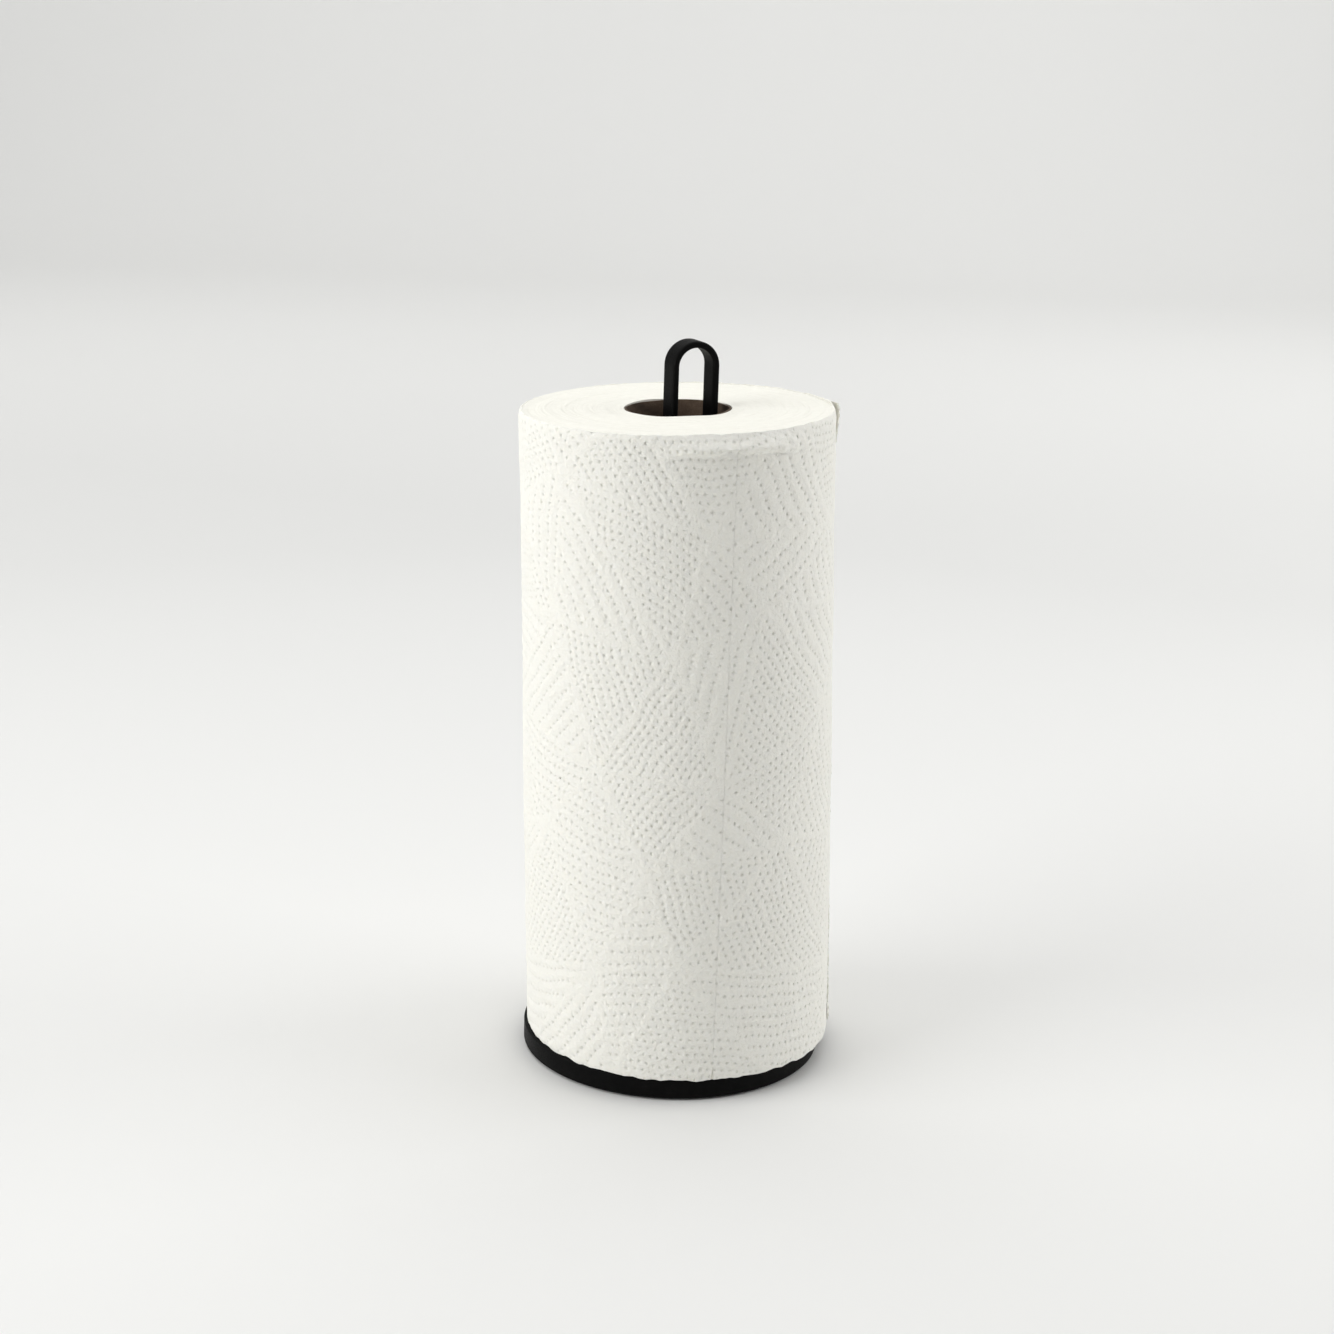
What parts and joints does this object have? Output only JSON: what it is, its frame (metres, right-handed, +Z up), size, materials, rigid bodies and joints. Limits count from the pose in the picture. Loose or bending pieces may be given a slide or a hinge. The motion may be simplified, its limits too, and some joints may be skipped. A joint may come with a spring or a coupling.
{
  "type": "paper towel holder",
  "caption": "Free-standing kitchen roll holder: a weighted disc, a tall narrow loop bent from flat bar, and a perforated embossed roll standing on it.",
  "frame": {"origin": "centre of the anti-slip pad's underside, on the surface the holder stands on", "axes": "+Z up along the post, +X across the loop from leg to leg, +Y through the loop from front to back"},
  "size_m": [0.1331, 0.1292, 0.2969],
  "materials": {
    "powder_coat": "matte",
    "pad_rubber": "matte",
    "zinc_steel": "satin",
    "core_board": "matte",
    "wound_towel": "matte",
    "towel_sheet": "matte"
  },
  "bodies": {
    "holder": {"base_disc": "powder_coat", "anti_slip_pad": "pad_rubber", "post_loop": "powder_coat", "foot_plate": "powder_coat", "base_screw_1": "zinc_steel", "base_screw_2": "zinc_steel"},
    "core": {"core_tube": "core_board"},
    "paper": {"wound_paper": "wound_towel", "outer_sheet_1": "towel_sheet", "outer_sheet_2": "towel_sheet", "outer_sheet_3": "towel_sheet"}
  },
  "joints": [
    {"name": "roll_lift", "type": "slide", "parent": "holder", "child": "core", "axis": [0, 0, 1], "range_m": [0, 0.3]},
    {"name": "roll_spin", "type": "hinge", "parent": "core", "child": "paper", "pos_m": [-0.0009, 0.00043, 0.0094], "axis": [0, 0, 1], "continuous": true}
  ]
}
